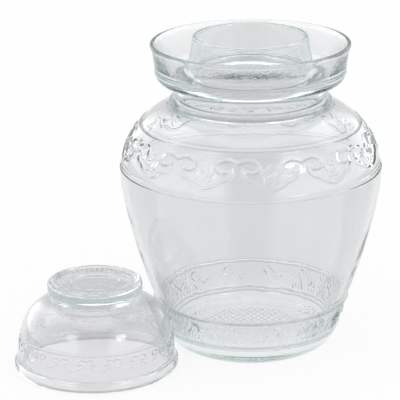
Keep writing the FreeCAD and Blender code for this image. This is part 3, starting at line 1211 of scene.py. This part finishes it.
    def base(self) -> list[Run]:
        """The foot, the heel, the base band with its water pattern, and the side up to the belly.

        Returns:
            The runs in order.
        """
        heel = bend(self.foot, self.band_foot, self.heel_curve, rows=16)
        split = len(heel) - 6  # the heel's last five steps carry the raised line
        low = np.vstack([heel[split:], straight(self.band_foot, self.press_foot, rows=3)[1:]])
        press = straight(self.press_foot, self.press_head, rows=28)
        side = bend(self.band_head, self.widest, self.side_curve, rows=24)
        high = np.vstack([straight(self.press_head, self.band_head, rows=3), side[1:2]])
        water = Frieze(WATER_BAND, self.waves, self.wave_turn, self.wave_radius,
                       length=distances(press)[-1] + self.wave_over, grain=self.wave_grain)
        return [Run(straight((0.0, 0.0), self.foot, rows=8)), Run(heel[:split + 1]),
                Run(self.base_lines[0].raised_on(low)), Run(press, Surface.PRESSED, water.relief),
                Run(self.base_lines[1].raised_on(high)), Run(side[1:])]

    def upper(self) -> list[Run]:
        """The shoulder with its cloud band and raised lines.

        Returns:
            The runs in order.
        """
        low = self.shoulder(self.widest[1], self.cloud_foot, rows=12)
        for line in self.belly_lines:
            low = line.raised_on(low)
        press = self.shoulder(self.cloud_foot, self.cloud_head, rows=42)
        high = self.shoulder(self.cloud_head, self.shoulder_head[1], rows=9)
        clouds = Frieze(CLOUD_BAND, self.clouds, self.cloud_turn, self.cloud_radius,
                        length=distances(press)[-1] + self.cloud_over)
        return [Run(low), Run(press, Surface.PRESSED, clouds.relief), Run(self.shoulder_line.raised_on(high))]

    def collar_and_trough_base(self) -> list[Run]:
        """The collar, the neck and the underside of the trough, up to its ledge.

        Returns:
            The runs in order.
        """
        collar = soften(straight(self.shoulder_head, self.collar_head, rows=4),
                        straight(self.collar_head, self.neck_foot, rows=6), self.collar_round, rows=5)
        return [Run(collar), Run(straight(self.neck_foot, self.neck_head, rows=6)),
                Run(straight(self.neck_head, self.base_edge, rows=6)),
                Run(bend(self.base_edge, self.seam, self.base_curve, rows=6)),
                Run(straight(self.seam, self.ledge, rows=1))]

    def trough_and_mouth(self) -> Run:
        """The trough's flared wall, its lip and floor, the mouth and the throat, with soft corners between.

        Returns:
            The run.
        """
        wall = bend(self.ledge, self.lip, self.flare_curve, rows=12)
        corners = ((self.lip, self.lip_inside, 4, self.lip_round, 6),
                   (self.lip_inside, self.trough_outer, 14, self.lip_round, 6),
                   (self.trough_outer, self.trough_inner, 8, self.trough_round, 8),
                   (self.trough_inner, self.mouth, 14, self.trough_round, 8),
                   (self.mouth, self.mouth_inside, 4, self.mouth_round, 6),
                   (self.mouth_inside, self.mouth_base, 14, self.mouth_round, 6),
                   (self.mouth_base, self.throat_head, 12, self.throat_round, 8),
                   (self.throat_head, self.throat_foot, 12, self.throat_round, 8))
        for start, end, rows, rounding, round_rows in corners:
            wall = soften(wall, straight(start, end, rows), rounding, round_rows)
        return Run(wall)

    def hollow(self) -> list[Run]:
        """The hollow below the throat: the shoulder, the side and the floor.

        Returns:
            The runs in order.
        """
        low = straight(self.hollow_band, self.hollow_corner, rows=8)
        floor = straight(self.hollow_corner, (0.0, self.hollow_corner[1]), rows=10)
        return [Run(bend(self.throat_foot, self.hollow_widest, self.hollow_shoulder_curve, rows=22)),
                Run(bend(self.hollow_widest, self.hollow_band, self.hollow_side_curve, rows=20)),
                Run(soften(low, floor, self.floor_round, rows=10))]

    def runs(self) -> list[Run]:
        """The whole section, from the middle of the foot over the rims to the middle of the floor inside."""
        outside = self.base() + self.upper() + self.collar_and_trough_base()
        return outside + [self.trough_and_mouth()] + self.hollow()


@dataclass
class Lid(TurnedGlass):
    """The lid: a glass bowl that stands on its rim, with a solid foot on top to grip it by.

    Sizes are as in the jar, with heights from the rim that it stands on.

    Args:
        name: The piece's name.
        rim_inside: The rim's inner edge.
        rim_outside: The rim's outer edge.
        wall_foot: The outer wall where the rim's bulge ends.
        inner_foot: The inner wall there.
        rim_curve: The curve from the rim's edges to the walls.
        press_foot: Where the cloud band starts.
        press_head: Where it ends.
        wall_head: The upper end of the outer wall.
        inner_head: The upper end of the inner wall.
        dome_head: The dome's upper end, at the waist.
        dome_curve: The curve up to there.
        ceiling: The edge of the flat ceiling inside.
        ceiling_curve: The curve from the ceiling to the inner wall.
        disc_foot: The foot disc's lower edge.
        disc_head: Its upper edge.
        disc_round: The rounding of the upper edge.
        step_head: The inner edge of the disc's raised ring.
        step_foot: The edge of the dished top.
        top_edge: Where the pressed rings of the top end.
        line: The raised line above the cloud band.
        clouds: How often the clouds repeat.
        cloud_turn: The bearing of one cloud's middle.
        cloud_radius: The radius at which the clouds keep their width.
        cloud_over: How far past the band's upper end the clouds' places are measured from.
        cloud_scale: Their size as a share of the jar's.
        cloud_rise: Their height as a share of the jar's.
    """

    name: str = "lid_bowl"
    rim_inside: Point = (49.9, 0.0)
    rim_outside: Point = (51.1, 0.0)
    wall_foot: Point = (53.1, 7.4)
    inner_foot: Point = (49.1, 7.4)
    rim_curve: float = 4.07
    press_foot: Point = (51.94, 14.84)
    press_head: Point = (50.42, 24.6)
    wall_head: Point = (50.2, 26.0)
    inner_head: Point = (46.2, 26.0)
    dome_head: Point = (28.0, 48.7)
    dome_curve: float = 27.4
    ceiling: Point = (23.0, 44.7)
    ceiling_curve: float = -23.4
    disc_foot: Point = (31.6, 53.0)
    disc_head: Point = (31.6, 60.0)
    disc_round: float = 2.2
    step_head: Point = (27.4, 60.0)
    step_foot: Point = (26.4, 59.0)
    top_edge: Point = (14.6, 59.0)
    line: MouldLine = MouldLine(25.4, 0.55, 0.45)
    clouds: int = 18
    cloud_turn: float = FRONT - 3.5
    cloud_radius: float = 51.6
    cloud_over: float = 0.8
    cloud_scale: float = 0.406
    cloud_rise: float = 0.6

    def inside(self) -> list[Run]:
        """The inner skin, from the middle of the ceiling down to the rim, and the rim's flat edge.

        Returns:
            The runs in order.
        """
        return [Run(straight((0.0, self.ceiling[1]), self.ceiling, rows=12)),
                Run(bend(self.ceiling, self.inner_head, self.ceiling_curve, rows=18)),
                Run(straight(self.inner_head, self.inner_foot, rows=10)),
                Run(bend(self.inner_foot, self.rim_inside, self.rim_curve, rows=10)),
                Run(straight(self.rim_inside, self.rim_outside, rows=2))]

    def wall(self) -> list[Run]:
        """The outer wall with its cloud band and raised line, and the dome.

        Returns:
            The runs in order.
        """
        press = straight(self.press_foot, self.press_head, rows=26)
        forms = tuple(replace(form, rise=form.rise * self.cloud_rise) for form in CLOUD)
        band = Frieze(forms, self.clouds, self.cloud_turn, self.cloud_radius,
                      length=distances(press)[-1] + self.cloud_over, scale=self.cloud_scale)
        return [Run(bend(self.rim_outside, self.wall_foot, self.rim_curve, rows=10)),
                Run(straight(self.wall_foot, self.press_foot, rows=6)),
                Run(press, Surface.PRESSED, band.relief),
                Run(self.line.raised_on(straight(self.press_head, self.wall_head, rows=2))),
                Run(bend(self.wall_head, self.dome_head, self.dome_curve, rows=18))]

    def top(self) -> list[Run]:
        """The waist, the foot disc and its dished top with the pressed rings.

        Returns:
            The runs in order.
        """
        disc = soften(straight(self.disc_foot, self.disc_head, rows=10),
                      straight(self.disc_head, self.step_head, rows=4), self.disc_round, rows=8)
        step = np.vstack([disc, straight(self.step_head, self.step_foot, rows=4)[1:]])
        rings = FootRings(self.step_foot[0])
        return [Run(straight(self.dome_head, self.disc_foot, rows=6)), Run(step),
                Run(straight(self.step_foot, self.top_edge, rows=24), Surface.PRESSED, rings.relief),
                Run(straight(self.top_edge, (0.0, self.top_edge[1]), rows=8))]

    def runs(self) -> list[Run]:
        """The whole section: inside from the axis to the rim, and outside from the rim to the axis."""
        return self.inside() + self.wall() + self.top()


# ---------------------------------------------------------------- the studio


@dataclass(frozen=True)
class Lamp:
    """A square soft lamp.

    Args:
        name: The lamp's name.
        place: Where it hangs, in metres.
        size: The length of its side.
        power: Its power, in watts.
        aim: The point that it faces.
    """

    name: str
    place: Place
    size: float
    power: float
    aim: Place = (0.0, 0.0, 0.1)

    def hang(self) -> None:
        """Hang the lamp, turned to its aim and unseen by the camera."""
        data = bpy.data.lights.new(self.name, "AREA")
        data.shape, data.size, data.energy = "SQUARE", self.size, self.power
        lamp = bpy.data.objects.new(self.name, data)
        lamp.visible_camera = False
        lamp.location = self.place
        lamp.rotation_euler = (Vector(self.aim) - Vector(self.place)).to_track_quat("-Z", "Y").to_euler()
        bpy.context.scene.collection.objects.link(lamp)


@dataclass
class Studio:
    """The pale floor, the white surroundings, the lamps and the camera.

    The surroundings' ends are shares of a direction along an axis: up, aside or to the back.

    Args:
        eye: The camera's place, in metres.
        yaw: Its turn to the right of +Y, in radians.
        pitch: Its turn down.
        roll: Its turn about its view.
        lens: Its focal length, in millimetres.
        sensor: Its sensor's width, in millimetres.
        sight: The nearest and the farthest distance that it sees, in metres.
        floor_half: Half the floor's side, in metres.
        floor_white: The floor's colour.
        floor_glow: How much of the floor's look is a plain white that no shadow darkens.
        ceiling: How bright the surroundings look overhead, where 1 is white.
        ceiling_ends: Where up they start to darken and where they are darkest.
        overhead: How bright the glow overhead is that mirrored light shows.
        overhead_ends: Where up it starts and is full.
        side_glow: How bright the glow on each side is.
        side_ends: Where aside it starts and is full.
        back_glow: How bright the glow high at the back is.
        back_ends: Where to the back it starts and is full.
        back_heights: Where up it starts and is full.
        lamps: The lamps.
        bounces: How often light is followed through the glass: in all, mirrored and let through.
    """

    eye: Place = (0.0, -1.42128, 0.55387)
    yaw: float = -0.0242
    pitch: float = 0.3096
    roll: float = -0.0092
    lens: float = 198.0
    sensor: float = 36.0
    sight: tuple[float, float] = (0.1, 20.0)
    floor_half: float = 3.0
    floor_white: Shade = (0.9, 0.9, 0.9, 1.0)
    floor_glow: float = 0.88
    ceiling: float = 0.45
    ceiling_ends: tuple[float, float] = (0.22, 0.80)
    overhead: float = 2.2
    overhead_ends: tuple[float, float] = (0.88, 0.97)
    side_glow: float = 1.4
    side_ends: tuple[float, float] = (0.28, 0.50)
    back_glow: float = 1.7
    back_ends: tuple[float, float] = (0.0, 0.3)
    back_heights: tuple[float, float] = (0.45, 0.70)
    lamps: tuple[Lamp, ...] = (Lamp("lamp_left", (-1.05, -1.15, 1.15), size=0.5, power=2.0),
                               Lamp("lamp_right", (1.08, -1.08, 1.2), size=0.44, power=3.0))
    bounces: tuple[int, int, int] = (40, 24, 32)

    def camera(self) -> None:
        """Set the camera: its axes turn by yaw about +Z, then by pitch down, then by roll about its view."""
        data = bpy.data.cameras.new("camera")
        data.lens, data.sensor_width = self.lens, self.sensor
        data.clip_start, data.clip_end = self.sight
        camera = bpy.data.objects.new("camera", data)
        bpy.context.scene.collection.objects.link(camera)
        ahead = Vector((math.sin(self.yaw) * math.cos(self.pitch), math.cos(self.yaw) * math.cos(self.pitch),
                        -math.sin(self.pitch)))
        right = Vector((math.cos(self.yaw), -math.sin(self.yaw), 0.0))
        up = right.cross(ahead)
        across = math.cos(self.roll) * right + math.sin(self.roll) * up
        over = -math.sin(self.roll) * right + math.cos(self.roll) * up
        turn = Matrix((across, over, -ahead)).transposed()
        camera.matrix_world = Matrix.Translation(self.eye) @ turn.to_4x4()
        bpy.context.scene.camera = camera

    def floor(self) -> None:
        """Lay the pale floor, a square that shows near white and keeps the object's shadow."""
        half = self.floor_half
        points = np.array([[-half, -half, 0], [half, -half, 0], [half, half, 0], [-half, half, 0]], float)
        floor = new_mesh("floor", points, np.array([[0, 1, 2], [0, 2, 3]]))
        material = bpy.data.materials.new("pale_floor")
        material.use_nodes = True
        tree = material.node_tree
        matt = tree.nodes["Principled BSDF"]
        for name, value in (("Base Color", self.floor_white), ("Roughness", 1.0),
                            ("Specular IOR Level", 0.0)):
            feed(tree, matt.inputs[name], value)
        shine = tree.nodes.new("ShaderNodeEmission")
        feed(tree, shine.inputs["Strength"], 1.0)
        share = math_node(tree, "MULTIPLY", looked_at(tree), self.floor_glow)
        surface = mix_shaders(tree, share, matt.outputs["BSDF"], shine.outputs["Emission"])
        feed(tree, tree.nodes["Material Output"].inputs["Surface"], surface)
        cover(floor, material)

    def surroundings(self) -> None:
        """Light the object from all round, and show white where it is seen, mirrored or seen through glass.

        The white that shows is 1 low down and falls to the ceiling's grey higher up. Mirrored light adds
        glows, as from large soft lamps: one overhead, one on each side and one high at the back. All of
        them are smooth ramps of the direction.
        """
        world = bpy.data.worlds.new("surroundings")
        bpy.context.scene.world = world
        world.use_nodes = True
        tree = world.node_tree
        tree.nodes.clear()
        way = tree.nodes.new("ShaderNodeSeparateXYZ")
        feed(tree, way.inputs["Vector"], tree.nodes.new("ShaderNodeTexCoord").outputs["Generated"])
        aside, back, up = way.outputs
        aside = math_node(tree, "ABSOLUTE", aside)
        backdrop = smooth_ramp(tree, up, self.ceiling_ends, (1.0, self.ceiling))
        behind = math_node(tree, "MULTIPLY", smooth_ramp(tree, back, self.back_ends, (0.0, self.back_glow)),
                           smooth_ramp(tree, up, self.back_heights, (0.0, 1.0)))
        glow = math_node(tree, "ADD", smooth_ramp(tree, up, self.overhead_ends, (0.0, self.overhead)),
                         smooth_ramp(tree, aside, self.side_ends, (0.0, self.side_glow)))
        glow = math_node(tree, "ADD", glow, behind)
        mirrored = tree.nodes.new("ShaderNodeLightPath").outputs["Is Glossy Ray"]
        strength = math_node(tree, "ADD", backdrop, math_node(tree, "MULTIPLY", glow, mirrored))
        lit, white = [tree.nodes.new("ShaderNodeBackground") for _ in range(2)]
        feed(tree, lit.inputs["Color"], (1.0, 1.0, 1.0, 1.0))
        feed(tree, white.inputs["Strength"], strength)
        surface = mix_shaders(tree, looked_at(tree), lit.outputs["Background"], white.outputs["Background"])
        feed(tree, tree.nodes.new("ShaderNodeOutputWorld").inputs["Surface"], surface)

    def build(self) -> None:
        """Set up everything that isn't the object."""
        self.camera()
        self.floor()
        self.surroundings()
        for lamp in self.lamps:
            lamp.hang()
        bpy.context.scene.view_settings.view_transform = "Standard"
        paths = bpy.context.scene.cycles
        paths.max_bounces, paths.glossy_bounces, paths.transmission_bounces = self.bounces


def main() -> None:
    """Build the jar and its lid, dress them and set up the studio."""
    logging.basicConfig(level=logging.INFO, format="%(name)s: %(message)s")
    for part, node, glass in ((Jar(), "jar", JAR_GLASS), (Lid(), "lid", LID_GLASS)):
        part.fit(*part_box(node))
        piece = part.build()
        part.dress(piece, glass)
        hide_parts(node)
        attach(piece, "root")
        LOG.info("%s: %d triangles", piece.name, len(piece.data.polygons))
    studio = Studio()
    studio.build()
    LOG.info("studio: %d lamps", len(studio.lamps))


if __name__ == "__main__":
    main()
